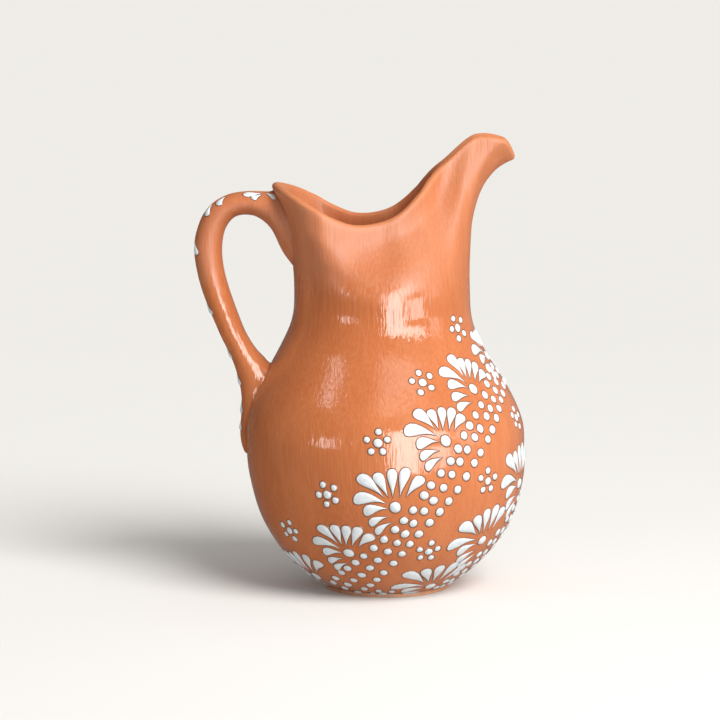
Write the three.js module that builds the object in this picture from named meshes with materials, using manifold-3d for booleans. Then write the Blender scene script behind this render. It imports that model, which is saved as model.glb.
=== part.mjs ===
// A glazed clay pitcher in four pieces: the thrown body, the beaked spout luted into the cut-away
// front of its neck, the turned foot under it, and the pulled handle luted to its neck and belly.
// Millimetres, +Z up, beak towards +X, handle towards -X. The origin is the centre of the foot's
// underside.

import * as THREE from "three";
import { mergeVertices } from "three/addons/utils/BufferGeometryUtils.js";
import Module from "manifold-3d";

// Body, all measured on the outside of the wall
const FOOT_RADIUS = 37.5;
const FOOT_HEIGHT = 2;
const FOOT_EASE = 0.5; // chamfer round the foot's lower edge
const BELLY_RADIUS = 81.4;
const BELLY_Z = 80; // where the bowl below reaches its full radius
const SHOULDER_Z = 89; // where the belly starts to close in
const NECK_RADIUS = 51.2;
const NECK_Z = 168; // the narrowest level, where the neck starts to turn into the mouth
const NECK_LEAN = 2.9; // how far the neck stands back towards the handle
const LEAN_FROM_Z = 60;
const LEAN_TO_Z = 140;
const WALL = 4.5;
const FLOOR = 6;

// The rim, as steps from the neck's own circle: forwards, sideways and up. It runs from the tip of
// the beak round the saddle to the peak over the handle, in equal turns, and is mirrored.
const RIM = [
  [24, 0, 83],
  [19, -3, 94.3],
  [8, -14, 93.4],
  [-0.8, -22.5, 78.2],
  [-2.2, -18.5, 63.6],
  [-1.4, -16.5, 53.1],
  [-1.1, -16.5, 47],
  [-1.8, -11, 45.8],
  [-1.5, -2.5, 49.7],
  [-1.9, 6, 55.2],
  [-5, 9.5, 60.2],
  [-9, 6.5, 63.9],
  [-12, 0, 65.8],
];
// How the wall runs into the rim, as a direction with its pull: along the beak, at the sides and
// at the back. The beak's own hold ends at BEAK_TURN, the back's starts at BACK_TURN.
const BEAK_RUN = new THREE.Vector3(26, 0, 5);
const SIDE_RUN = new THREE.Vector3(1, 0, 22);
const BACK_RUN = new THREE.Vector3(-9, 0, 20);
const BEAK_TURN = THREE.MathUtils.degToRad(42);
const BACK_TURN = THREE.MathUtils.degToRad(110);
const MOUTH_PULL = 0.52; // share of the rise over which the neck's own direction lasts

// The joint of spout and body: a plane that meets the neck's front this far over the narrowest
// level, and leans back from level by this angle.
const SPOUT_JOINT_RISE = 14;
const SPOUT_JOINT_ANGLE = THREE.MathUtils.degToRad(120);

// The handle from its upper root to the end of its tail, as seen from the side: its outer edge, its
// inner edge and its width. An edge is how far it stands off the wall behind it, and how high it is
// over the neck's narrowest level.
const HANDLE = [
  [[-4, 62.6], [-10, 20], 38],
  [[4, 63], [-1, 21], 35],
  [[12, 63.6], [5.8, 28], 30],
  [[19, 63.9], [12.8, 42], 25],
  [[28.6, 63.8], [21, 49], 20.5],
  [[38, 62], [29.4, 50.3], 18.4],
  [[47.8, 56.2], [35.6, 47.7], 18],
  [[54.5, 46], [40.2, 40], 18],
  [[57.7, 30], [41.4, 26.8], 18],
  [[53.8, 8], [38.5, 10.9], 17.5],
  [[40, -18], [28.9, -12], 17],
  [[29.2, -29.2], [21, -21.5], 17.2],
  [[20.6, -38], [12.7, -28.6], 18],
  [[13.6, -46.3], [4, -34.5], 19],
  [[8, -54.5], [-3, -41.6], 19.5],
  [[4.4, -64], [-7, -56], 18],
  [[3.3, -79], [-7.5, -78], 14],
  [[1.6, -87.5], [-6, -89], 9.5],
  [[-2.5, -91], [-5, -92], 5],
];

const JOINT_GAP = 0.3; // left between pieces that touch

// Fineness of the surfaces
const TURNS = 60;
const BOWL_ROWS = 7;
const SHOULDER_ROWS = 9;
const MOUTH_ROWS = 9;
const LIP_ROWS = 4;
const HANDLE_RINGS = 38;
const HANDLE_SIDES = 16;
const MERGE = 1e-4;
const STEP = 1e-3; // step of the numerical slopes

const FAR = 400; // larger than the pitcher, for the solids that cut it

const GLAZED_CLAY = { color: 0xb9633a, roughness: 0.22, metalness: 0 };
const BARE_CLAY = { color: 0xd88f5f, roughness: 0.6, metalness: 0 };

const bodyBottomZ = FOOT_HEIGHT + JOINT_GAP;
const bowlHeight = (BELLY_Z - bodyBottomZ) / Math.sqrt(1 - (FOOT_RADIUS / BELLY_RADIUS) ** 2);
const bowlStart = Math.acos(FOOT_RADIUS / BELLY_RADIUS);

function leanAt(z) {
  return -NECK_LEAN * THREE.MathUtils.smoothstep(z, LEAN_FROM_Z, LEAN_TO_Z);
}

// The wall's radius and height below the mouth, for a level from 0 at the foot to 1 at the belly
// and 2 at the neck.
function thrownWall(level) {
  if (level < 1) {
    const angle = bowlStart * (1 - level);
    return [BELLY_RADIUS * Math.cos(angle), BELLY_Z - bowlHeight * Math.sin(angle)];
  }
  const z = BELLY_Z + (NECK_Z - BELLY_Z) * (level - 1);
  const closed = Math.max(0, (z - SHOULDER_Z) / (NECK_Z - SHOULDER_Z));
  return [NECK_RADIUS + ((BELLY_RADIUS - NECK_RADIUS) * (1 + Math.cos(Math.PI * closed))) / 2, z];
}

// The rear of the wall at a height, as an X coordinate
function rearAt(z) {
  if (z >= NECK_Z) return leanAt(z) - NECK_RADIUS;
  const level = 1 + (z - BELLY_Z) / (NECK_Z - BELLY_Z);
  return leanAt(z) - thrownWall(Math.max(1, level))[0];
}

const rimSteps = new THREE.CatmullRomCurve3(
  [...RIM, ...RIM.slice(1, -1).reverse().map(([x, y, z]) => [x, -y, z])].map(
    (step) => new THREE.Vector3(...step),
  ),
  true,
  "catmullrom",
  0.5,
);

// A point of the outer wall. The turn is in radians from the beak, the level from 0 at the foot
// to 1 at the belly, 2 at the neck and 3 at the rim.
function outerWall(turn, level) {
  const side = new THREE.Vector3(Math.cos(turn), Math.sin(turn), 0);
  if (level <= 2) {
    const [radius, z] = thrownWall(level);
    return side.multiplyScalar(radius).add(new THREE.Vector3(leanAt(z), 0, z));
  }
  const start = side.multiplyScalar(NECK_RADIUS).add(new THREE.Vector3(leanAt(NECK_Z), 0, NECK_Z));
  const share = THREE.MathUtils.euclideanModulo(turn / (2 * Math.PI), 1);
  const step = rimSteps.getPoint(share);
  const end = start.clone().add(step);
  const away = Math.abs(THREE.MathUtils.euclideanModulo(turn + Math.PI, 2 * Math.PI) - Math.PI);
  const beak = 1 - THREE.MathUtils.smoothstep(away, 0, BEAK_TURN);
  const back = THREE.MathUtils.smoothstep(away, BACK_TURN, Math.PI);
  const run = SIDE_RUN.clone().lerp(BEAK_RUN, beak).lerp(BACK_RUN, back);
  const rise = new THREE.Vector3(0, 0, MOUTH_PULL * step.z);
  const wall = new THREE.CubicBezierCurve3(start, start.clone().add(rise), end.clone().sub(run), end);
  return wall.getPoint(level - 2);
}

// The outward normal of the wall, and the direction in which it rises
function wallFrame(turn, level) {
  const along = outerWall(turn + STEP, level).sub(outerWall(turn - STEP, level));
  const high = Math.min(level + STEP, 3);
  const low = Math.max(level - STEP, 0);
  const up = outerWall(turn, high).sub(outerWall(turn, low)).normalize();
  return { normal: along.cross(up).normalize(), up };
}

function levels() {
  const rows = [];
  for (let i = 0; i < BOWL_ROWS; i++) rows.push(i / BOWL_ROWS);
  for (let i = 0; i < SHOULDER_ROWS; i++) rows.push(1 + i / SHOULDER_ROWS);
  for (let i = 0; i <= MOUTH_ROWS; i++) rows.push(2 + i / MOUTH_ROWS);
  return rows;
}

function ring(pointAt) {
  return Array.from({ length: TURNS }, (_, i) => pointAt((2 * Math.PI * i) / TURNS));
}

// A closed surface through rings of equal length, closed at both ends by a fan to a point
function loft(rings, first, last) {
  const sides = rings[0].length;
  const vertices = [first, ...rings.flat(), last];
  const faces = [];
  const at = (row, i) => 1 + row * sides + (i % sides);
  for (let i = 0; i < sides; i++) {
    faces.push(0, at(0, i + 1), at(0, i));
    for (let row = 0; row + 1 < rings.length; row++) {
      faces.push(at(row, i), at(row, i + 1), at(row + 1, i + 1));
      faces.push(at(row, i), at(row + 1, i + 1), at(row + 1, i));
    }
    faces.push(vertices.length - 1, at(rings.length - 1, i), at(rings.length - 1, i + 1));
  }
  return new THREE.BufferGeometry().setFromPoints(vertices).setIndex(faces);
}

// The thrown and pulled wall as one shell: outside, lip, inside and floor
function shell() {
  const rings = levels().map((level) => ring((turn) => outerWall(turn, level)));
  for (let i = 1; i < LIP_ROWS; i++) {
    const angle = (Math.PI * i) / LIP_ROWS;
    rings.push(
      ring((turn) => {
        const { normal, up } = wallFrame(turn, 3);
        return outerWall(turn, 3)
          .addScaledVector(normal, (WALL / 2) * (Math.cos(angle) - 1))
          .addScaledVector(up, (WALL / 2) * Math.sin(angle));
      }),
    );
  }
  const inside = (level) =>
    ring((turn) => outerWall(turn, level).addScaledVector(wallFrame(turn, level).normal, -WALL));
  for (const level of levels().reverse()) {
    const inner = inside(level);
    if (inner[0].z < bodyBottomZ + FLOOR) break;
    rings.push(inner);
  }
  const floorZ = rings.at(-1)[0].z;
  return loft(rings, new THREE.Vector3(0, 0, bodyBottomZ), new THREE.Vector3(0, 0, floorZ));
}

// The pitcher's outside as a filled solid, grown by a clearance
function filled(clearance) {
  const rings = levels().map((level) =>
    ring((turn) => outerWall(turn, level).addScaledVector(wallFrame(turn, level).normal, clearance)),
  );
  const top = new THREE.Vector3(leanAt(NECK_Z), 0, NECK_Z + RIM.at(-1)[2]);
  return loft(rings, new THREE.Vector3(0, 0, bodyBottomZ), top);
}

// A smooth open curve through points of the plane Y = 0, or through single values
function through(values) {
  const points = values.map(([x, z = 0]) => new THREE.Vector3(x, 0, z));
  return new THREE.CatmullRomCurve3(points, false, "catmullrom", 0.5);
}

function handleCoil() {
  const edge = ([standoff, rise]) => [rearAt(NECK_Z + rise) - standoff, NECK_Z + rise];
  const outerEdge = through(HANDLE.map(([outer]) => edge(outer)));
  const innerEdge = through(HANDLE.map(([, inner]) => edge(inner)));
  const width = through(HANDLE.map(([, , value]) => [value]));
  const middle = (share) => outerEdge.getPoint(share).lerp(innerEdge.getPoint(share), 0.5);
  const rings = [];
  for (let i = 0; i <= HANDLE_RINGS; i++) {
    const share = i / HANDLE_RINGS;
    const centre = middle(share);
    const outwards = outerEdge.getPoint(share).sub(centre);
    const sideways = new THREE.Vector3(0, width.getPoint(share).x / 2, 0);
    rings.push(
      Array.from({ length: HANDLE_SIDES }, (_, side) => {
        const angle = (2 * Math.PI * side) / HANDLE_SIDES;
        const point = centre.clone().addScaledVector(outwards, Math.cos(angle));
        return point.addScaledVector(sideways, Math.sin(angle));
      }),
    );
  }
  return loft(rings, middle(0), middle(1));
}

function footDisc() {
  const profile = [
    [0, 0],
    [FOOT_RADIUS - FOOT_EASE, 0],
    [FOOT_RADIUS, FOOT_EASE],
    [FOOT_RADIUS, FOOT_HEIGHT],
    [0, FOOT_HEIGHT],
  ].map((point) => new THREE.Vector2(...point));
  return new THREE.LatheGeometry(profile, TURNS).rotateX(Math.PI / 2);
}

// The half of space ahead of the spout's joint, moved along its normal by an offset
function aheadOfJoint(offset) {
  const along = new THREE.Vector3(Math.cos(SPOUT_JOINT_ANGLE), 0, Math.sin(SPOUT_JOINT_ANGLE));
  const forwards = new THREE.Vector3(along.z, 0, -along.x);
  const front = new THREE.Vector3(leanAt(NECK_Z) + NECK_RADIUS, 0, NECK_Z + SPOUT_JOINT_RISE);
  const middle = front.addScaledVector(forwards, FAR / 2 + offset);
  return new THREE.BoxGeometry(FAR, FAR, FAR)
    .rotateY(Math.PI / 2 - SPOUT_JOINT_ANGLE)
    .translate(middle.x, middle.y, middle.z);
}

const wasm = await Module();
wasm.setup();

function toSolid(geometry) {
  const bare = geometry.clone();
  bare.deleteAttribute("normal");
  bare.deleteAttribute("uv");
  const merged = mergeVertices(bare, MERGE);
  const vertProperties = merged.attributes.position.array;
  const triVerts = new Uint32Array(merged.index.array);
  return new wasm.Manifold(new wasm.Mesh({ numProp: 3, vertProperties, triVerts }));
}

function toGeometry(solid) {
  const { vertProperties, triVerts } = solid.getMesh();
  const geometry = new THREE.BufferGeometry();
  geometry.setAttribute("position", new THREE.BufferAttribute(vertProperties, 3));
  geometry.setIndex(new THREE.BufferAttribute(triVerts, 1));
  geometry.computeVertexNormals();
  return geometry;
}

function piece(name, geometry, look) {
  const mesh = new THREE.Mesh(geometry, new THREE.MeshStandardMaterial(look));
  mesh.name = name;
  return mesh;
}

const vessel = toSolid(shell());
const body = vessel.subtract(toSolid(aheadOfJoint(-JOINT_GAP / 2)));
const spout = vessel.intersect(toSolid(aheadOfJoint(JOINT_GAP / 2)));
const handle = toSolid(handleCoil()).subtract(toSolid(filled(JOINT_GAP)));

const pitcher = new THREE.Group();
pitcher.name = "pitcher";
pitcher.add(piece("body", toGeometry(body), GLAZED_CLAY));
pitcher.add(piece("spout", toGeometry(spout), GLAZED_CLAY));
pitcher.add(piece("foot", footDisc(), BARE_CLAY));
pitcher.add(piece("handle", toGeometry(handle), GLAZED_CLAY));

export default pitcher;
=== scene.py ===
"""Looks of a glazed clay pitcher with trailed slip flowers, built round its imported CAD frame.

Metres, +Z up, beak towards +X, handle towards -X. A place on the wall is given by its turn in
degrees from the beak and by its climb: the way up along the wall from the belly line, in
millimetres.
"""

import math
import random

import bmesh
import bpy
import numpy as np
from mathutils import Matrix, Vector
from mathutils.bvhtree import BVHTree


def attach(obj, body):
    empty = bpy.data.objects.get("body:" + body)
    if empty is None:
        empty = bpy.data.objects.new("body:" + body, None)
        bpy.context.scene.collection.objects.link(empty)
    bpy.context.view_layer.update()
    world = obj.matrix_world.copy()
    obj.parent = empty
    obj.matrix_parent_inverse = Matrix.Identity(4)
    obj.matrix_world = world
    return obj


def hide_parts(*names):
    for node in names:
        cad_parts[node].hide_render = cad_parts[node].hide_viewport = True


MM = 0.001

# The thrown wall, with the CAD model's named sizes. The CAD model's floor lies 4 mm higher than this
# one, because its wall is made of fewer rows.
FOOT_RADIUS = 37.5 * MM
BELLY_RADIUS = 81.4 * MM
BELLY_Z = 80 * MM
SHOULDER_Z = 89 * MM
NECK_RADIUS = 51.2 * MM
NECK_Z = 168 * MM
NECK_LEAN = 2.9 * MM
LEAN_FROM_Z = 60 * MM
LEAN_TO_Z = 140 * MM
WALL = 4.5 * MM
FLOOR = 6 * MM
BOTTOM_Z = 2.3 * MM

# Steps along X, Y and Z from the neck's circle to the rim, every 15 degrees from the beak to the
# rear. The first three and BEAK_RUN make the beak rounder than the CAD model's, by up to 2.6 mm.
RIM = [
    (24, 0, 82),
    (19.8, -3, 92.5),
    (8.3, -14, 93.8),
    (-0.8, -22.5, 78.2),
    (-2.2, -18.5, 63.6),
    (-1.4, -16.5, 53.1),
    (-1.1, -16.5, 47),
    (-1.8, -11, 45.8),
    (-1.5, -2.5, 49.7),
    (-1.9, 6, 55.2),
    (-5, 9.5, 60.2),
    (-9, 6.5, 63.9),
    (-12, 0, 65.8),
]
BEAK_RUN = np.array((25, 0, 9.5)) * MM
SIDE_RUN = np.array((1, 0, 22)) * MM
BACK_RUN = np.array((-9, 0, 20)) * MM
BEAK_TURN = math.radians(42)
BACK_TURN = math.radians(110)
MOUTH_PULL = 0.52

# The handle from its upper root to its tail: outer edge, inner edge and width. An edge is given by
# how far it stands off the wall's rear and by its rise over the neck.
HANDLE = [
    ((-4, 62.6), (-10, 20), 38),
    ((4, 63), (-1, 21), 35),
    ((12, 63.6), (5.8, 28), 30),
    ((19, 63.9), (12.8, 42), 25),
    ((28.6, 63.8), (21, 49), 20.5),
    ((38, 62), (29.4, 50.3), 18.4),
    ((47.8, 56.2), (35.6, 47.7), 18),
    ((54.5, 46), (40.2, 40), 18),
    ((57.7, 30), (41.4, 26.8), 18),
    ((53.8, 8), (38.5, 10.9), 17.5),
    ((40, -18), (28.9, -12), 17),
    ((29.2, -29.2), (21, -21.5), 17.2),
    ((20.6, -38), (12.7, -28.6), 18),
    ((13.6, -46.3), (4, -34.5), 19),
    ((8, -54.5), (-3, -41.6), 19.5),
    ((4.4, -64), (-7, -56), 18),
    ((3.3, -79), (-7.5, -78), 14),
    ((1.6, -87.5), (-6, -89), 9.5),
    ((-2.5, -91), (-5, -92), 5),
]

# Fineness of the surfaces
WALL_TURNS = 300
BOWL_ROWS = 48
SHOULDER_ROWS = 52
MOUTH_ROWS = 46
LIP_ROWS = 10
THIN_ROWS_INSIDE = 3
FLOOR_ROWS = 5
FLOOR_OUTER_SHARE = 0.85
HANDLE_ROWS = 220
HANDLE_SIDES = 64

HAND_UNEVENNESS = 0.22 * MM
JOINT_DEPTH = 2 * MM
JOINT_FLARE = 1.3 * MM
JOINT_FLARE_HEIGHT = 3.5 * MM
# Painted shade darkens the glaze in the crease where the handle meets the wall: fully up to the
# first height off the wall, fading out by the second
JOINT_SHADE_FULL_HEIGHT = 0.1 * MM
JOINT_SHADE_HEIGHT = 1.3 * MM
SLOPE_STEP = 1e-3
WELD_DISTANCE = 1e-6


def smooth(value, low, high):
    share = np.clip((value - low) / (high - low), 0, 1)
    return share * share * (3 - 2 * share)


def curve(points, share, closed=False):
    """Points on a smooth curve through points, for shares from 0 to 1 of its length."""
    count = len(points)
    reach = share * (count if closed else count - 1)
    before = np.floor(reach).astype(int)
    if closed:
        held = np.concatenate([points[-1:], points, points[:2]])
        before = np.mod(before, count)
        reach = np.mod(reach, count)
    else:
        before = np.clip(before, 0, count - 2)
        ends = 2 * points[:1] - points[1:2], 2 * points[-1:] - points[-2:-1]
        held = np.concatenate([ends[0], points, ends[1]])
    t = (reach - before)[..., None]
    a, b, c, d = (held[before + step] for step in range(4))
    linear = (c - a) * t / 2
    square = (2 * a - 5 * b + 4 * c - d) * t * t / 2
    cube = (3 * b - 3 * c + d - a) * t**3 / 2
    return b + linear + square + cube


def lean_at(z):
    return -NECK_LEAN * smooth(z, LEAN_FROM_Z, LEAN_TO_Z)


BOWL_START = math.acos(FOOT_RADIUS / BELLY_RADIUS)
BOWL_HEIGHT = (BELLY_Z - BOTTOM_Z) / math.sin(BOWL_START)


def thrown_wall(level):
    """Radius and height of the wall, for a level of 0 at the foot, 1 at the belly, 2 at the neck."""
    angle = BOWL_START * (1 - np.clip(level, 0, 1))
    z = BELLY_Z + (NECK_Z - BELLY_Z) * (np.clip(level, 1, 2) - 1)
    closed = np.clip((z - SHOULDER_Z) / (NECK_Z - SHOULDER_Z), 0, 1)
    radius = NECK_RADIUS + (BELLY_RADIUS - NECK_RADIUS) * (1 + np.cos(np.pi * closed)) / 2
    low = level < 1
    return (
        np.where(low, BELLY_RADIUS * np.cos(angle), radius),
        np.where(low, BELLY_Z - BOWL_HEIGHT * np.sin(angle), z),
    )


mirrored_rim = [(x, -y, z) for x, y, z in RIM[-2:0:-1]]
rim_steps = np.array(RIM + mirrored_rim, float) * MM


def hand_unevenness(turn, level):
    """How far the potter's hand left the wall out of true."""
    slow = np.sin(2 * turn + 5 * level) + 0.6 * np.sin(3 * turn - 9 * level + 1)
    quick = 0.3 * np.sin(5 * turn + 17 * level) + 0.35 * np.sin(23 * level + 2 * turn)
    return HAND_UNEVENNESS * (slow + quick) * smooth(level, 0, 0.3)


def wall_at(turn, level):
    """Points of the outer wall; level 3 is the rim."""
    turn, level = np.broadcast_arrays(turn, level)
    side = np.stack([np.cos(turn), np.sin(turn), 0 * turn], -1)
    radius, z = thrown_wall(level)
    centre = np.stack([lean_at(z), 0 * z, z], -1)
    below = centre + side * radius[..., None]

    start = side * NECK_RADIUS + np.array([lean_at(NECK_Z), 0, NECK_Z])
    step = curve(rim_steps, np.mod(turn / math.tau, 1), closed=True)
    away = np.abs(np.mod(turn + np.pi, math.tau) - np.pi)
    beak = (1 - smooth(away, 0, BEAK_TURN))[..., None]
    back = smooth(away, BACK_TURN, np.pi)[..., None]
    run = SIDE_RUN + (BEAK_RUN - SIDE_RUN) * beak
    run = run + (BACK_RUN - run) * back
    rise = step * np.array((0, 0, MOUTH_PULL))
    end = start + step
    t = np.clip(level - 2, 0, 1)[..., None]
    s = 1 - t
    mouth = s**3 * start + 3 * s * s * t * (start + rise) + 3 * s * t * t * (end - run) + t**3 * end

    true = np.where((level <= 2)[..., None], below, mouth)
    return true + side * hand_unevenness(turn, level)[..., None]


def wall_frame(turn, level):
    """Outward normal of the wall, and the direction in which it rises."""
    along = wall_at(turn + SLOPE_STEP, level) - wall_at(turn - SLOPE_STEP, level)
    high = np.minimum(level + SLOPE_STEP, 3)
    low = np.maximum(level - SLOPE_STEP, 0)
    up = wall_at(turn, high) - wall_at(turn, low)
    up = up / np.linalg.norm(up, axis=-1, keepdims=True)
    normal = np.cross(along, up)
    return normal / np.linalg.norm(normal, axis=-1, keepdims=True), up


def rear_at(z):
    level = np.clip(1 + (z - BELLY_Z) / (NECK_Z - BELLY_Z), 1, 2)
    return lean_at(z) - thrown_wall(level)[0]


def handle_edge(edge):
    standoff, rise = np.array(edge, float).T * MM
    z = NECK_Z + rise
    return np.stack([rear_at(z) - standoff, 0 * z, z], -1)


handle_outer = handle_edge([row[0] for row in HANDLE])
handle_inner = handle_edge([row[1] for row in HANDLE])
handle_width = np.array([[row[2], 0, 0] for row in HANDLE], float) * MM


def handle_at(share, angle):
    """Points of the handle: share from root to tail, angle 0 on its back."""
    share, angle = np.broadcast_arrays(share, angle)
    outer = curve(handle_outer, share)
    inner = curve(handle_inner, share)
    half_width = curve(handle_width, share)[..., 0] / 2
    middle = (outer + inner) / 2
    across = np.stack([0 * angle, half_width * np.sin(angle), 0 * angle], -1)
    return middle + (outer - middle) * np.cos(angle)[..., None] + across


def handle_frame(share, angle):
    along = handle_at(share + SLOPE_STEP, angle) - handle_at(share - SLOPE_STEP, angle)
    around = handle_at(share, angle + SLOPE_STEP) - handle_at(share, angle - SLOPE_STEP)
    normal = np.cross(around, along)
    return normal / np.linalg.norm(normal, axis=-1, keepdims=True)


def coordinates(verts):
    return np.array([vert.co for vert in verts])


def place(verts, points):
    for vert, point in zip(verts, points):
        vert.co = point


def finished(name, bm, material, replaces=()):
    """Turns a bmesh into a smooth piece at the origin, riding on the pitcher."""
    mesh = bpy.data.meshes.new(name)
    bm.to_mesh(mesh)
    bm.free()
    mesh.shade_smooth()
    mesh.materials.append(material)
    piece = bpy.data.objects.new(name, mesh)
    bpy.context.scene.collection.objects.link(piece)
    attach(piece, "root")
    if replaces:
        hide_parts(*replaces)
    return piece


def closed_up(bm):
    bmesh.ops.remove_doubles(bm, verts=bm.verts, dist=WELD_DISTANCE)
    bmesh.ops.recalc_face_normals(bm, faces=bm.faces)


def wrapped_grid(across, rows):
    """A flat grid to be wrapped round a form, with each vertex's column and row."""
    bm = bmesh.new()
    bmesh.ops.create_grid(bm, x_segments=across, y_segments=rows, size=0.5)
    flat = coordinates(bm.verts)
    low, high = flat.min(0), flat.max(0)
    column = np.rint((flat[:, 0] - low[0]) / (high[0] - low[0]) * across).astype(int)
    row = np.rint((flat[:, 1] - low[1]) / (high[1] - low[1]) * rows).astype(int)
    return bm, column, row


# Vessel: one wall from the middle of its underside up the outside, over the lip and down the
# inside to the middle of its floor
def wall_levels():
    bowl = np.linspace(0, 1, BOWL_ROWS, endpoint=False)
    shoulder = np.linspace(1, 2, SHOULDER_ROWS, endpoint=False)
    mouth = np.linspace(2, 3, MOUTH_ROWS + 1)
    return np.concatenate([bowl, shoulder, mouth])


def wall_rows(turns):
    """Rows of points round the vessel, with how much of the lip each row is."""
    outside = [wall_at(turns, level) for level in wall_levels()]
    normal, up = wall_frame(turns, 3.0)
    lip = []
    for angle in np.linspace(0, np.pi, LIP_ROWS + 1)[1:-1]:
        inwards = normal * (math.cos(angle) - 1) * WALL / 2
        lip.append(outside[-1] + inwards + up * math.sin(angle) * WALL / 2)
    inside = []
    for level in wall_levels()[::-1]:
        row = wall_at(turns, level) - wall_frame(turns, level)[0] * WALL
        if row[:, 2].min() < BOTTOM_Z + FLOOR:
            break
        inside.append(row)
    last = inside[-1]
    middle = np.array((0, 0, last[0, 2]))
    shares = np.linspace(FLOOR_OUTER_SHARE, 0, FLOOR_ROWS)
    floor = [middle + (last - middle) * share for share in shares]
    underside = np.zeros_like(last) + (0, 0, BOTTOM_Z)
    rows = [underside, *outside, *lip, *inside, *floor]
    lipped = [0] * (len(outside) - 1) + [1] * (1 + len(lip) + THIN_ROWS_INSIDE)
    lipped = lipped + [0] * (len(rows) - len(lipped))
    return np.array(rows), np.array(lipped, float)


def make_vessel(material):
    turns = np.linspace(-np.pi, np.pi, WALL_TURNS + 1)
    rows, lipped = wall_rows(turns)
    bm, column, row = wrapped_grid(WALL_TURNS, len(rows) - 1)
    place(bm.verts, rows[row, column])
    thin = bm.verts.layers.float.new("thin")
    for vert, share in zip(bm.verts, lipped[row]):
        vert[thin] = share
    closed_up(bm)
    return finished("vessel", bm, material, ("body", "spout"))


def outer_wall_tree():
    """The vessel's outside as a search tree."""
    turns = np.linspace(-np.pi, np.pi, WALL_TURNS + 1)
    levels = wall_levels()
    bm, column, row = wrapped_grid(WALL_TURNS, len(levels) - 1)
    rows = np.array([wall_at(turns, level) for level in levels])
    place(bm.verts, rows[row, column])
    bmesh.ops.remove_doubles(bm, verts=bm.verts, dist=WELD_DISTANCE)
    tree = BVHTree.FromBMesh(bm)
    bm.free()
    return tree


def height_over(tree, point):
    """How far a point stands off the pitcher's outside, with the way out."""
    nearest, _, _, distance = tree.find_nearest(point)
    away = point - nearest
    axis = Vector((lean_at(point.z), 0, point.z))
    outside = (point - axis).length > (nearest - axis).length
    return (distance if outside else -distance), nearest, away


# Handle: a pulled strap of clay, sunk a little into the wall at both ends and smoothed on to it
def make_handle(material, tree):
    bm, column, row = wrapped_grid(HANDLE_SIDES, HANDLE_ROWS)
    angle = math.tau * column / HANDLE_SIDES
    share = np.clip((row - 1) / (HANDLE_ROWS - 2), 0, 1)
    points = handle_at(share, angle)
    middles = (handle_at(share, 0) + handle_at(share, np.pi)) / 2
    ends = (row == 0) | (row == HANDLE_ROWS)
    points[ends] = middles[ends]
    joint_shade = bm.verts.layers.float.new("joint_shade")
    for vert, point, middle in zip(bm.verts, points, middles):
        point = Vector(point)
        height, nearest, away = height_over(tree, point)
        if height < JOINT_FLARE_HEIGHT:
            flare = JOINT_FLARE * (1 - max(height, 0) / JOINT_FLARE_HEIGHT) ** 2
            point = point + (point - Vector(middle)).normalized() * flare
            height, nearest, away = height_over(tree, point)
        if height < -JOINT_DEPTH:
            point = nearest + away.normalized() * JOINT_DEPTH
        vert.co = point
        # Painted shade: full at the wall, fading out as the handle stands off it
        vert[joint_shade] = 1 - smooth(height, JOINT_SHADE_FULL_HEIGHT, JOINT_SHADE_HEIGHT)
    closed_up(bm)
    return finished("handle", bm, material, ("handle",))


# Foot: a turned disc of bare clay with a shallow hollow underneath
FOOT_HOLLOW_RADIUS = 28 * MM
FOOT_HOLLOW_DEPTH = 0.5 * MM
FOOT_STAND_RADIUS = 29.5 * MM
FOOT_SIDE_HEIGHT = 2.25 * MM
FOOT_TOP_RADIUS = 34 * MM
FOOT_TOP_Z = 2.6 * MM
FOOT_ROUNDING = 0.45 * MM
FOOT_ROUNDING_STEPS = 4
FOOT_TURNS = 160


def make_foot(material):
    bm = bmesh.new()
    profile = [
        (0, FOOT_HOLLOW_DEPTH),
        (FOOT_HOLLOW_RADIUS, FOOT_HOLLOW_DEPTH),
        (FOOT_STAND_RADIUS, 0),
        (FOOT_RADIUS, 0),
        (FOOT_RADIUS, FOOT_SIDE_HEIGHT),
        (FOOT_TOP_RADIUS, FOOT_TOP_Z),
        (0, FOOT_TOP_Z),
    ]
    turned = [bm.verts.new((radius, 0, z)) for radius, z in profile]
    for pair in zip(turned, turned[1:]):
        bm.edges.new(pair)
    bmesh.ops.bevel(
        bm,
        geom=turned[2:5],
        offset=FOOT_ROUNDING,
        affect="VERTICES",
        segments=FOOT_ROUNDING_STEPS,
        profile=0.5,
        material=-1,
    )
    bmesh.ops.spin(
        bm,
        geom=bm.verts[:] + bm.edges[:],
        axis=(0, 0, 1),
        cent=(0, 0, 0),
        angle=math.tau,
        steps=FOOT_TURNS,
        use_merge=True,
    )
    closed_up(bm)
    return finished("foot_ring", bm, material, ("foot",))


# Slip drops: low domes with a thin skirt, drawn out to a tail where they are petals. Row by row
# from the top to the underside: how far out, how high, and whether it belongs to the brown line.
DROP_SPREAD = np.array((0, 0.5, 0.82, 1, 1, 1, 0))
DROP_RISE = np.array((1, 0.93, 0.66, 0.1, 0.02, 0, 0))
DROP_EDGE = np.array((0, 0, 0, 0, 1, 1, 1))
DROP_SKIRT = 0.8 * MM
DROP_SINK = -0.4 * MM
DROP_CLEARANCE = 0.02 * MM
DROP_FADE_CURVE = 1.5
DROP_ROWS = 6
DOT_SIDES = 12
PETAL_SIDES = 18

climb_levels = np.linspace(0, 2, 801)
climb_points = wall_at(-np.pi / 2, climb_levels)
climb_steps = np.linalg.norm(np.diff(climb_points, axis=0), axis=1)
climb_lengths = np.concatenate([[0], np.cumsum(climb_steps)])
climb_lengths = climb_lengths - np.interp(1, climb_levels, climb_lengths)


def on_wall(turn, climb, right, up, height):
    """Points of a patch of the wall round a place, lifted off it by a height."""
    level = np.interp(climb + up, climb_lengths, climb_levels)
    radius = thrown_wall(np.interp(climb + up / 2, climb_lengths, climb_levels))[0]
    turns = turn + right / radius
    return wall_at(turns, level) + wall_frame(turns, level)[0] * height[:, None]


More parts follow.
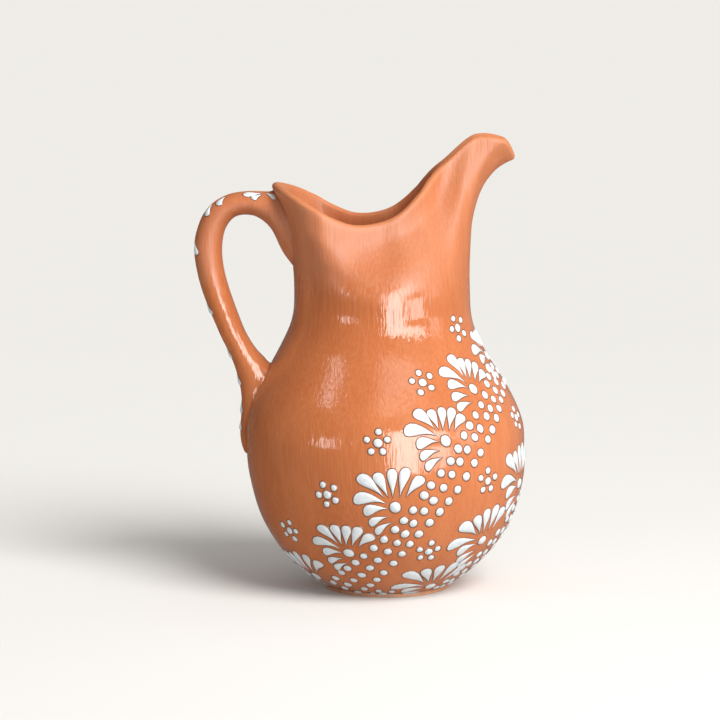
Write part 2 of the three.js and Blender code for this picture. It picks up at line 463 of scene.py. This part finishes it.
def on_handle(share, angle, right, up, height):
    """Points of a patch of the handle's back; up runs towards its upper root."""
    step = 0.01
    along = np.linalg.norm(handle_at(share + step, angle) - handle_at(share - step, angle))
    around = np.linalg.norm(handle_at(share, angle + step) - handle_at(share, angle - step))
    shares = share - up * 2 * step / along
    angles = angle + right * 2 * step / around
    return handle_at(shares, angles) + handle_frame(shares, angles) * height[:, None]


def widest_share(taper):
    angle = np.linspace(0, np.pi, 91)
    return (np.sin(angle) * ((1 + np.cos(angle)) / 2) ** (taper / 2)).max()


def add_drop(bm, edge, surface, centre, drop, sides):
    """One drop of slip. It grows from its tail in a direction, and bows to one side."""
    made = bmesh.ops.create_uvsphere(bm, u_segments=sides, v_segments=DROP_ROWS, radius=1)
    verts = made["verts"]
    ball = coordinates(verts)
    row = np.rint(np.arccos(np.clip(ball[:, 2], -1, 1)) * DROP_ROWS / np.pi).astype(int)
    angle = np.arctan2(ball[:, 1], ball[:, 0])
    spread = DROP_SPREAD[row]
    skirt = DROP_SKIRT * (DROP_EDGE[row] > 0) * (spread > 0)
    u = spread * np.cos(angle)
    taper = ((1 + np.cos(angle)) / 2) ** (drop["taper"] / 2)
    v = spread * np.sin(angle) * taper
    half_width = drop["width"] / 2 / widest_share(drop["taper"])
    half_length = drop["length"] / 2
    along = u * half_length + skirt * np.cos(angle)
    across = v * half_width + skirt * np.sin(angle)
    t = np.clip((along / half_length + 1) / 2, 0, 1)
    across = across - drop["bow"] * 4 * t * (1 - t)
    along = along + drop["start"] + half_length
    lift = DROP_RISE[row] * drop["height"] * (1 - drop["fade"] * (1 - t) ** DROP_FADE_CURVE)
    lift = np.where(row >= DROP_ROWS - 1, DROP_SINK, lift + DROP_CLEARANCE)
    direction = drop["direction"]
    right = along * math.cos(direction) - across * math.sin(direction)
    up = along * math.sin(direction) + across * math.cos(direction)
    right = right + drop["right"]
    up = up + drop["up"]
    place(verts, surface(*centre, right, up, lift))
    for vert, share in zip(verts, DROP_EDGE[row]):
        vert[edge] = share


# A dot's height as a share of its width, and how far dots and petals vary from one to the next
DOT_STEEPNESS = 0.19
DOT_SIZES = (0.93, 1.07)
DOT_STRETCHES = (1.0, 1.14)
PETAL_HEIGHT = 0.85 * MM
PETAL_TAPER = 3.0
PETAL_FADE = 0.75
PETAL_SWAY = 0.04
PETAL_LENGTHS = (0.97, 1.03)
PETAL_WIDTHS = (0.94, 1.06)
PETAL_HEIGHTS = (0.9, 1.1)


def dot(chance, diameter, right=0.0, up=0.0):
    """A round drop, never quite round."""
    size = diameter * chance.uniform(*DOT_SIZES)
    length = size * chance.uniform(*DOT_STRETCHES)
    return {
        "direction": chance.uniform(0, math.pi),
        "start": -length / 2,
        "length": length,
        "width": size,
        "height": DOT_STEEPNESS * size,
        "taper": 0,
        "fade": 0,
        "bow": 0,
        "right": right,
        "up": up,
    }


def petal(chance, tail, head, width, bow):
    """A drop dragged to a tail, given by the ends of its tail and its head."""
    right, up = (np.array(head) - np.array(tail)) * MM
    return {
        "direction": math.atan2(up, right) + chance.uniform(-PETAL_SWAY, PETAL_SWAY),
        "start": 0.0,
        "length": math.hypot(right, up) * chance.uniform(*PETAL_LENGTHS),
        "width": width * MM * chance.uniform(*PETAL_WIDTHS),
        "height": PETAL_HEIGHT * chance.uniform(*PETAL_HEIGHTS),
        "taper": PETAL_TAPER,
        "fade": PETAL_FADE,
        "bow": bow * MM,
        "right": tail[0] * MM,
        "up": tail[1] * MM,
    }


def mirrored(drop):
    """The same drop as the other hand would trail it."""
    turned = dict(drop)
    turned["direction"] = math.pi - drop["direction"]
    turned["bow"] = -drop["bow"]
    turned["right"] = -drop["right"]
    return turned


# Where the tail ends and the head ends, to the right and up from the flower's middle, the head's
# width and how far the petal bows
PETALS = [
    ((6.2, 6.1), (16, 17.8), 6.0, -1.0),
    ((2.5, 6.1), (7.4, 22.5), 5.7, -0.5),
    ((-1.4, 5.8), (-1.2, 22.7), 5.4, 0),
    ((-4, 6.1), (-10.2, 20.5), 5.7, 0.3),
    ((-6.5, 6.1), (-20.5, 18.4), 6.8, 1.0),
    ((-5.2, 2.2), (-24, 3.7), 7.0, 2.0),
    ((-4.4, -1), (-17.3, -3.7), 6.0, 1.4),
    ((-4, -6.0), (-14.7, -11.2), 5.0, 1.2),
    ((-1.6, -9.6), (-10.6, -17.2), 4.6, 1.2),
]
FLOWER_DOT = 5.9 * MM

# Place, growth, how much shorter the upper petals are, and how far the flower is turned
UPPER_FLOWERS = [
    ((-144, -78), 0.93, 1.0, 0),
    ((-109, -51), 0.94, 0.93, -7),
    ((-87, -19), 1.0, 1.0, 0),
    ((-65, 18), 1.0, 0.86, -8),
    ((-42, 46), 1.0, 0.86, -25),
]
FRONT_FLOWER = ((-8, 62), 0.9, 0.85, -8)
LOWER_FLOWERS = [
    ((-56, -85), 1.0, 1.0, 4),
    ((-39, -47), 1.06, 0.92, 10),
    ((-17, -15.5), 1.08, 0.95, 2),
]
# How many of the petals are the upper ones
CROWN_PETALS = 5

ROSETTES = [
    (-140, -40),
    (-115, -13),
    (-93, 18),
    (-70, 53),
    (-35.5, 83),
    (-70, -50),
    (-45, -8),
    (-16, 23),
    (-93.5, -93.5),
]
ROSETTE_DOTS = 5
ROSETTE_RADIUS = 5.9 * MM
ROSETTE_REACHES = (0.9, 1.1)
ROSETTE_SWAY = 0.12
ROSETTE_MIDDLE = 4.4 * MM
ROSETTE_DOT = 3.3 * MM

DOT_ROWS = {
    "upper_near": [
        (-131, -82),
        (-123, -74),
        (-108, -60),
        (-95, -44.5),
        (-86, -32),
        (-79, -20),
        (-72, -6),
        (-62.5, 8),
        (-56, 20),
        (-48, 29.5),
        (-36, 41),
        (-29.6, 47),
        (-21, 52),
        (-2.5, 57.5),
    ],
    "upper_middle": [
        (-125, -88),
        (-117, -80.5),
        (-103.5, -68),
        (-93.5, -54),
        (-84.5, -40.5),
        (-77.5, -26.5),
        (-69, -12),
        (-61.5, 2),
        (-54, 14),
        (-46, 23.5),
        (-36, 33),
        (-29.5, 38.5),
        (-22, 44.5),
        (-12, 49.5),
        (-2.5, 50.5),
    ],
    "upper_far": [
        (-116, -93),
        (-100.5, -79.5),
        (-87, -58.5),
        (-77, -38),
        (-69, -24.5),
        (-61.5, -12),
        (-53.5, 2),
        (-46, 13),
        (-37, 24),
        (-27.5, 33.5),
        (-21, 38),
        (-11, 42.5),
        (-2.5, 43),
    ],
    "lower_near": [
        (-46, -90),
        (-40, -72),
        (-32, -56),
        (-25, -42),
        (-18, -31),
        (-10, -25),
        (-2.5, -22),
    ],
    "lower_middle": [
        (-39, -90),
        (-33, -72),
        (-25, -54),
        (-18, -41),
        (-10, -34),
        (-2.5, -31),
    ],
    "lower_far": [
        (-30, -88),
        (-25, -72),
        (-17, -56),
        (-10, -46),
        (-2.5, -42),
    ],
}
ROW_DOT = 4.3 * MM
ROW_SPACING = 8.5 * MM
ROW_DRIFT = 0.7 * MM
ROW_SWAY = 0.5 * MM
ROW_FINENESS = 400

# Where each motif's random draws start, and what the far side adds
UPPER_FLOWER_SEED = 10
FRONT_FLOWER_SEED = 30
LOWER_FLOWER_SEED = 40
ROSETTE_SEED = 60
ROW_SEED = 80
HANDLE_DROP_SEED = 7
FAR_SIDE_SEED = 500


def slip_piece(name, material, surface, groups):
    """One piece of drops: groups of a centre with the drops round it."""
    bm = bmesh.new()
    edge = bm.verts.layers.float.new("edge")
    for centre, drops in groups:
        for drop in drops:
            sides = PETAL_SIDES if drop["taper"] else DOT_SIDES
            add_drop(bm, edge, surface, centre, drop, sides)
    bmesh.ops.recalc_face_normals(bm, faces=bm.faces)
    return finished(name, bm, material)


def flower_drops(chance, growth, crown, turned):
    drops = [dot(chance, FLOWER_DOT)]
    angle = math.radians(turned)
    across = np.array((math.cos(angle), -math.sin(angle))) * growth
    upwards = np.array((math.sin(angle), math.cos(angle))) * growth
    for i, (tail, head, width, bow) in enumerate(PETALS):
        reach = np.array(head) * (crown if i < CROWN_PETALS else 1)
        tail = across @ tail, upwards @ tail
        head = across @ reach, upwards @ reach
        drops.append(petal(chance, tail, head, width * growth, bow))
    return drops


def at(spot):
    turn, climb = spot
    return math.radians(turn), climb * MM


def flower(chance, motif):
    spot, growth, crown, turned = motif
    return [(at(spot), flower_drops(chance, growth, crown, turned))]


def rosette(chance, spot):
    drops = [dot(chance, ROSETTE_MIDDLE)]
    first = chance.uniform(0, math.tau)
    for i in range(ROSETTE_DOTS):
        sway = chance.uniform(-ROSETTE_SWAY, ROSETTE_SWAY)
        angle = first + math.tau * i / ROSETTE_DOTS + sway
        reach = ROSETTE_RADIUS * chance.uniform(*ROSETTE_REACHES)
        drops.append(dot(chance, ROSETTE_DOT, reach * math.cos(angle), reach * math.sin(angle)))
    return [(at(spot), drops)]


def dots_along(chance, places):
    """Dots at even spacing along a row given by a few places on the wall."""
    places = np.array(places, float)
    shares = np.linspace(0, 1, ROW_FINENESS)
    path = curve(places, shares)
    level = np.interp(path[:, 1] * MM, climb_lengths, climb_levels)
    points = wall_at(np.radians(path[:, 0]), level)
    lengths = np.concatenate([[0], np.cumsum(np.linalg.norm(np.diff(points, axis=0), axis=1))])
    groups = []
    for wanted in np.arange(0, lengths[-1], ROW_SPACING):
        reach = wanted + chance.uniform(-ROW_DRIFT, ROW_DRIFT)
        turn = math.radians(np.interp(reach, lengths, path[:, 0]))
        climb = np.interp(reach, lengths, path[:, 1]) * MM
        off = chance.uniform(-ROW_SWAY, ROW_SWAY)
        groups.append(((turn, climb), [dot(chance, ROW_DOT, off, off)]))
    return groups


def other_side(groups):
    return [((-turn, climb), [mirrored(d) for d in drops]) for (turn, climb), drops in groups]


def both_sides(name, material, trail, motif, seed):
    """A motif on the near side, and its mirror image trailed afresh on the far side."""
    near = trail(random.Random(seed), motif)
    slip_piece(name + "_right", material, on_wall, near)
    far = other_side(trail(random.Random(seed + FAR_SIDE_SEED), motif))
    slip_piece(name + "_left", material, on_wall, far)


def trail_decoration(material):
    for i, motif in enumerate(UPPER_FLOWERS):
        both_sides(f"upper_flower_{i + 1}", material, flower, motif, UPPER_FLOWER_SEED + i)
    front = flower(random.Random(FRONT_FLOWER_SEED), FRONT_FLOWER)
    slip_piece("front_flower", material, on_wall, front)
    for i, motif in enumerate(LOWER_FLOWERS):
        both_sides(f"lower_flower_{i + 1}", material, flower, motif, LOWER_FLOWER_SEED + i)
    for i, spot in enumerate(ROSETTES):
        both_sides(f"rosette_{i + 1}", material, rosette, spot, ROSETTE_SEED + i)
    for i, (name, places) in enumerate(DOT_ROWS.items()):
        both_sides(f"dots_{name}", material, dots_along, places, ROW_SEED + i)


# Drops in pairs down the handle's back: share of the way, angle from the middle, how the head
# points, length and width
HANDLE_DROPS = [
    (0.118, 24, 62, 8.0, 4.8),
    (0.195, 32, -77, 12.0, 4.6),
    (0.184, 45, -52, 7.5, 3.4),
    (0.302, 37, -55, 7.5, 4.0),
    (0.346, 31, -62, 8.0, 4.0),
    (0.440, 30, -66, 8.0, 3.8),
    (0.525, 22, -72, 8.0, 3.8),
    (0.618, 16, -78, 8.0, 3.8),
    (0.720, 17, -78, 8.0, 3.8),
    (0.825, 13, -80, 7.5, 3.6),
    (0.866, 17, -80, 6.0, 3.4),
]
HANDLE_DROP_HEIGHT = 0.9 * MM
HANDLE_DROP_BOW = 0.5


def trail_handle_drops(material):
    chance = random.Random(HANDLE_DROP_SEED)
    groups = []
    for share, angle, direction, length, width in HANDLE_DROPS:
        half = np.array((math.cos(math.radians(direction)), math.sin(math.radians(direction))))
        half = half * length / 2
        tear = petal(chance, -half, half, width, HANDLE_DROP_BOW)
        tear["height"] = HANDLE_DROP_HEIGHT
        side = math.radians(angle)
        groups.append(((share, side), [tear]))
        groups.append(((share, -side), [mirrored(tear)]))
    slip_piece("handle_drops", material, on_handle, groups)


# Materials
class Reading:
    """An output of a shader node. Sums and products with it add Math nodes."""

    def __init__(self, finish, socket):
        self.finish = finish
        self.socket = socket

    def maths(self, operation, first, second):
        values = {0: first, 1: second}
        return self.finish.node("ShaderNodeMath", {"operation": operation}, values)

    def __add__(self, other):
        return self.maths("ADD", self, other)

    __radd__ = __add__

    def __mul__(self, other):
        return self.maths("MULTIPLY", self, other)

    __rmul__ = __mul__


class Finish:
    """A material built node by node."""

    def __init__(self, name):
        self.material = bpy.data.materials.new(name)
        self.material.use_nodes = True
        self.tree = self.material.node_tree
        self.tree.nodes.clear()

    def node(self, kind, settings=None, values=None, output=0):
        made = self.tree.nodes.new(kind)
        for name, setting in (settings or {}).items():
            setattr(made, name, setting)
        for socket, value in (values or {}).items():
            if isinstance(value, Reading):
                self.tree.links.new(value.socket, made.inputs[socket])
            else:
                made.inputs[socket].default_value = value
        return Reading(self, made.outputs[output] if made.outputs else None)

    def place(self, scale=(1, 1, 1)):
        """Object coordinates, stretched."""
        spot = self.node("ShaderNodeTexCoord", output=3)
        return self.node("ShaderNodeMapping", None, {"Vector": spot, "Scale": scale})

    def up(self):
        """Height over the table."""
        return self.node("ShaderNodeSeparateXYZ", None, {"Vector": self.place()}, output=2)

    def noise(self, scale, stretch=(1, 1, 1), detail=3.0):
        values = {"Vector": self.place(stretch), "Scale": scale, "Detail": detail}
        return self.node("ShaderNodeTexNoise", None, values)

    def ramp(self, value, low, high):
        """0 under low, 1 over high, smooth between."""
        values = {"Value": value, "From Min": low, "From Max": high}
        return self.node("ShaderNodeMapRange", {"interpolation_type": "SMOOTHSTEP"}, values)

    def mix(self, factor, first, second):
        """One colour into another; inputs 6 and 7 and output 2 are the node's colours."""
        values = {0: factor, 6: first, 7: second}
        return self.node("ShaderNodeMix", {"data_type": "RGBA"}, values, output=2)

    def attribute(self, name):
        return self.node("ShaderNodeAttribute", {"attribute_name": name}, output=2)

    def bump(self, height, distance):
        return self.node("ShaderNodeBump", None, {"Height": height, "Distance": distance})

    def surface(self, values):
        shader = self.node("ShaderNodeBsdfPrincipled", None, values)
        self.node("ShaderNodeOutputMaterial", None, {"Surface": shader})
        return self.material


CLAY_DEEP = (0.46, 0.135, 0.046, 1)
CLAY_LIGHT = (0.55, 0.182, 0.070, 1)
CLAY_STROKE = (0.43, 0.116, 0.036, 1)
CLAY_HAIR = (0.62, 0.245, 0.115, 1)
CLAY_FLECK = (0.30, 0.07, 0.022, 1)
CLAY_AT_LIP = (0.58, 0.22, 0.095, 1)
JOINT_SHADE_COLOUR = (0.12, 0.028, 0.012, 1)
GLAZE_IOR = 1.5
GLAZE_RELIEF = 0.2 * MM
# The glaze turns softer between these two heights, in metres, with a ragged edge
SOFT_FROM_Z = 0.183
SOFT_TO_Z = 0.207
SOFT_RAGGEDNESS = 0.03


def glazed_terracotta():
    """Clear glaze over brushed orange clay, softer towards the rim, with painted shade where the
    handle meets the wall.
    """
    finish = Finish("glazed_terracotta")
    cloud = finish.ramp(finish.noise(14, (1, 1, 0.6)), 0.35, 0.68)
    stroke = finish.ramp(finish.noise(120, (1, 1, 0.12), 3.0), 0.3, 0.7)
    hair = finish.noise(900, (1, 1, 0.05), 2.0)
    fleck = finish.ramp(finish.noise(1500, detail=1.0), 0.66, 0.78)
    colour = finish.mix(cloud, CLAY_DEEP, CLAY_LIGHT)
    colour = finish.mix(stroke * 0.35, colour, CLAY_STROKE)
    colour = finish.mix(finish.ramp(hair, 0.35, 0.7) * 0.22, colour, CLAY_HAIR)
    colour = finish.mix(fleck * 0.3, colour, CLAY_FLECK)
    colour = finish.mix(finish.attribute("thin") * 0.35, colour, CLAY_AT_LIP)
    # Painted shade: darker glaze in the crease where the handle meets the wall
    colour = finish.mix(finish.attribute("joint_shade") * 0.32, colour, JOINT_SHADE_COLOUR)
    streak = finish.noise(520, (1, 1, 0.14), 2.0)
    relief = hair * 0.5 + streak
    soft = finish.ramp(finish.up() + SOFT_RAGGEDNESS * streak, SOFT_FROM_Z, SOFT_TO_Z)
    values = {
        "Base Color": colour,
        "Roughness": 0.04 + 0.08 * streak + 0.4 * soft,
        "IOR": GLAZE_IOR,
        "Normal": finish.bump(relief, GLAZE_RELIEF),
    }
    return finish.surface(values)


BARE_CLAY = (0.64, 0.27, 0.13, 1)
BARE_CLAY_GROG = (0.78, 0.40, 0.22, 1)
BARE_CLAY_WORN = (0.80, 0.45, 0.28, 1)
BARE_CLAY_RELIEF = 0.1 * MM


def foot_clay():
    """Bare, turned clay with grog in it and a little wear."""
    finish = Finish("foot_clay")
    grog = finish.noise(1400, detail=3.0)
    wear = finish.ramp(finish.noise(60), 0.4, 0.7)
    colour = finish.mix(finish.ramp(grog, 0.35, 0.65), BARE_CLAY, BARE_CLAY_GROG)
    colour = finish.mix(wear * 0.4, colour, BARE_CLAY_WORN)
    values = {
        "Base Color": colour,
        "Roughness": 0.5 + 0.25 * grog,
        "Normal": finish.bump(grog, BARE_CLAY_RELIEF),
    }
    return finish.surface(values)


SLIP_WHITE = (0.67, 0.71, 0.73, 1)
SLIP_SHADE = (0.60, 0.65, 0.69, 1)
SLIP_LINE = (0.22, 0.09, 0.052, 1)
SLIP_RELIEF = 0.05 * MM


def white_slip():
    """Bluish white slip under glaze, with a brown line round it."""
    finish = Finish("white_slip")
    cloud = finish.noise(450, detail=2.0)
    line = finish.ramp(finish.attribute("edge"), 0.02, 0.25)
    colour = finish.mix(finish.ramp(cloud, 0.4, 0.7), SLIP_WHITE, SLIP_SHADE)
    colour = finish.mix(line, colour, SLIP_LINE)
    values = {
        "Base Color": colour,
        "Roughness": 0.12 + 0.1 * cloud,
        "IOR": GLAZE_IOR,
        "Normal": finish.bump(cloud, SLIP_RELIEF),
    }
    return finish.surface(values)


TABLE_COLOUR = (0.69, 0.685, 0.67, 1)
TABLE_GLOW_COLOUR = (0.92, 0.91, 0.89, 1)
TABLE_GLOW = 0.06


def pale_floor():
    """A matt, pale table that glows faintly."""
    finish = Finish("pale_floor")
    values = {
        "Base Color": TABLE_COLOUR,
        "Emission Color": TABLE_GLOW_COLOUR,
        "Emission Strength": TABLE_GLOW,
        "Roughness": 1.0,
        "Specular IOR Level": 0.0,
    }
    return finish.surface(values)


# Stage
TABLE_HALF_WIDTH = 40.0
TABLE_SQUARES = 8


def lay_floor():
    """The table, which the glaze doesn't mirror."""
    bm = bmesh.new()
    squares = TABLE_SQUARES
    bmesh.ops.create_grid(bm, x_segments=squares, y_segments=squares, size=TABLE_HALF_WIDTH)
    mesh = bpy.data.meshes.new("floor")
    bm.to_mesh(mesh)
    bm.free()
    mesh.materials.append(pale_floor())
    floor = bpy.data.objects.new("floor", mesh)
    bpy.context.scene.collection.objects.link(floor)
    floor.visible_glossy = False


def aimed(name, data, position, target):
    """An object for a camera or a light, turned from its position towards its target."""
    thing = bpy.data.objects.new(name, data)
    thing.location = position
    thing.rotation_euler = (Vector(target) - Vector(position)).to_track_quat("-Z", "Y").to_euler()
    bpy.context.scene.collection.objects.link(thing)
    return thing


CAMERA_POSITION = (-0.0156, -1.9, 0.412)
CAMERA_TARGET = (-0.0156, 0, 0.1332)
CAMERA_LENS = 164.7
CAMERA_SENSOR = 36
CAMERA_REACH = 200


def set_camera():
    data = bpy.data.cameras.new("camera")
    data.lens = CAMERA_LENS
    data.sensor_width = CAMERA_SENSOR
    data.clip_end = CAMERA_REACH
    camera = aimed("camera", data, CAMERA_POSITION, CAMERA_TARGET)
    bpy.context.scene.camera = camera


# Panes of a window as azimuth and elevation from just under the neck, breadth and height in
# degrees, and brightness. They are only mirrored and light nothing.
PANE_DISTANCE = 1.2
PANES_MIDDLE = (0, 0, 0.155)
PANES = {
    "pane_left": (16, 7, 24, 34, 12.0),
    "pane_right_high": (41, 19, 24, 11, 10.0),
    "pane_right_low": (44, -2, 20, 12, 8.0),
    "pane_above": (22, 49, 34, 12, 2.2),
    "side_pane": (71, 12, 13, 20, 3.0),
    "lamp_left": (-47, 4, 11, 10, 7.0),
    "skylight_left": (-61, 42, 7, 10, 6.0),
}


def light_panes():
    middle = Vector(PANES_MIDDLE)
    for name, (azimuth, elevation, breadth, height, brightness) in PANES.items():
        turn, rise = math.radians(azimuth), math.radians(elevation)
        level = math.cos(rise)
        away = Vector((math.sin(turn) * level, -math.cos(turn) * level, math.sin(rise)))
        data = bpy.data.lights.new(name, "AREA")
        data.shape = "RECTANGLE"
        data.size = 2 * PANE_DISTANCE * math.tan(math.radians(breadth / 2))
        data.size_y = 2 * PANE_DISTANCE * math.tan(math.radians(height / 2))
        data.energy = brightness * math.pi * data.size * data.size_y
        pane = aimed(name, data, middle + away * PANE_DISTANCE, middle)
        pane.visible_camera = False
        pane.visible_diffuse = False


# The sky's brightness on the handle's side and on the beak's side, and where along X it changes
SKY_LIGHT = (0.24, 0.62)
SKY_MIRRORED = (0.03, 0.3)
SKY_SIDES = (-0.9, 0.6)
SKY_COLOUR = (1.0, 0.985, 0.96, 1)
BACKDROP_COLOUR = (0.88, 0.875, 0.86, 1)


def light_sky():
    """Soft light from all round, dimmer where it is mirrored, behind a plain backdrop."""
    world = bpy.data.worlds.new("sky")
    world.use_nodes = True
    bpy.context.scene.world = world
    nodes, links = world.node_tree.nodes, world.node_tree.links
    nodes.clear()
    path = nodes.new("ShaderNodeLightPath")
    towards = nodes.new("ShaderNodeTexCoord")
    parts = nodes.new("ShaderNodeSeparateXYZ")
    links.new(towards.outputs["Generated"], parts.inputs[0])
    sides = []
    for low, high in (SKY_LIGHT, SKY_MIRRORED):
        side = nodes.new("ShaderNodeMapRange")
        side.inputs["From Min"].default_value = SKY_SIDES[0]
        side.inputs["From Max"].default_value = SKY_SIDES[1]
        side.inputs["To Min"].default_value = low
        side.inputs["To Max"].default_value = high
        links.new(parts.outputs["X"], side.inputs["Value"])
        sides.append(side)
    strength = nodes.new("ShaderNodeMapRange")
    links.new(path.outputs["Is Glossy Ray"], strength.inputs["Value"])
    links.new(sides[0].outputs[0], strength.inputs["To Min"])
    links.new(sides[1].outputs[0], strength.inputs["To Max"])
    background = nodes.new("ShaderNodeBackground")
    background.inputs["Color"].default_value = SKY_COLOUR
    links.new(strength.outputs[0], background.inputs["Strength"])
    seen = nodes.new("ShaderNodeBackground")
    seen.inputs["Color"].default_value = BACKDROP_COLOUR
    mix = nodes.new("ShaderNodeMixShader")
    links.new(path.outputs["Is Camera Ray"], mix.inputs[0])
    links.new(background.outputs[0], mix.inputs[1])
    links.new(seen.outputs[0], mix.inputs[2])
    output = nodes.new("ShaderNodeOutputWorld")
    links.new(mix.outputs[0], output.inputs["Surface"])


KEY_POSITION = (1.35, -1.6, 1.9)
KEY_TARGET = (0, 0, 0)
KEY_STRENGTH = 3.3
KEY_SPREAD = math.radians(35)
KEY_COLOUR = (1.0, 0.98, 0.95)
NEAR_KEY_POSITION = (0.3, -0.45, 0.52)
NEAR_KEY_TARGET = (0, 0, 0.2)
NEAR_KEY_SIZE = 0.5
NEAR_KEY_POWER = 1.5


def light_key():
    """A broad sun and a near lamp, which light the clay and aren't mirrored."""
    data = bpy.data.lights.new("key", "SUN")
    data.energy = KEY_STRENGTH
    data.angle = KEY_SPREAD
    data.color = KEY_COLOUR
    key = aimed("key", data, KEY_POSITION, KEY_TARGET)
    key.visible_glossy = False
    near = bpy.data.lights.new("near_key", "AREA")
    near.shape = "DISK"
    near.size = NEAR_KEY_SIZE
    near.energy = NEAR_KEY_POWER
    lamp = aimed("near_key", near, NEAR_KEY_POSITION, NEAR_KEY_TARGET)
    lamp.visible_glossy = False
    lamp.visible_camera = False


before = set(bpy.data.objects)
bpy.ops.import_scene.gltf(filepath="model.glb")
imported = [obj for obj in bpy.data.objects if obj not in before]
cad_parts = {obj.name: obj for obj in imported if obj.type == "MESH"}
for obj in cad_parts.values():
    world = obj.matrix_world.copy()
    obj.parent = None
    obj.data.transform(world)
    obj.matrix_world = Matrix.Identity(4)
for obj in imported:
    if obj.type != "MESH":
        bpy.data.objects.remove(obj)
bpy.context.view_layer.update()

set_camera()
lay_floor()
light_sky()
light_key()
light_panes()
bpy.context.scene.view_settings.view_transform = "Standard"

glaze = glazed_terracotta()
slip = white_slip()
make_vessel(glaze)
make_handle(glaze, outer_wall_tree())
make_foot(foot_clay())
trail_decoration(slip)
trail_handle_drops(slip)
